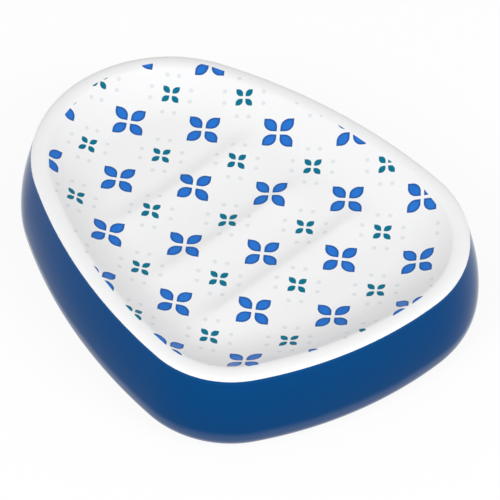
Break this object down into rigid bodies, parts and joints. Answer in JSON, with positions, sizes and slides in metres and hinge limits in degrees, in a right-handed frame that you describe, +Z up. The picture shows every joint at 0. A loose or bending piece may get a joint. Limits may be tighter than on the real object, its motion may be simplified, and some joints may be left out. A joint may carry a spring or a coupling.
{
  "type": "soap dish",
  "caption": "Free-standing glazed ceramic soap dish: pebble-shaped white tray with a dished, ribbed basin on a flared hollow blue base with anti-slip pads.",
  "frame": {"origin": "centre of the footprint, on the surface that the pads stand on", "axes": "+X along the dish to its wide end, +Y across it along the ribs, +Z up out of the basin"},
  "size_m": [0.1332, 0.1076, 0.0272],
  "materials": {
    "white_glaze": "glossy",
    "blue_glaze": "glossy",
    "pad_rubber": "matte"
  },
  "bodies": {
    "root": {"tray": "white_glaze", "base_shell": "blue_glaze", "foot_pad_narrow_front": "pad_rubber", "foot_pad_narrow_back": "pad_rubber", "foot_pad_wide_front": "pad_rubber", "foot_pad_wide_back": "pad_rubber"}
  },
  "joints": []
}
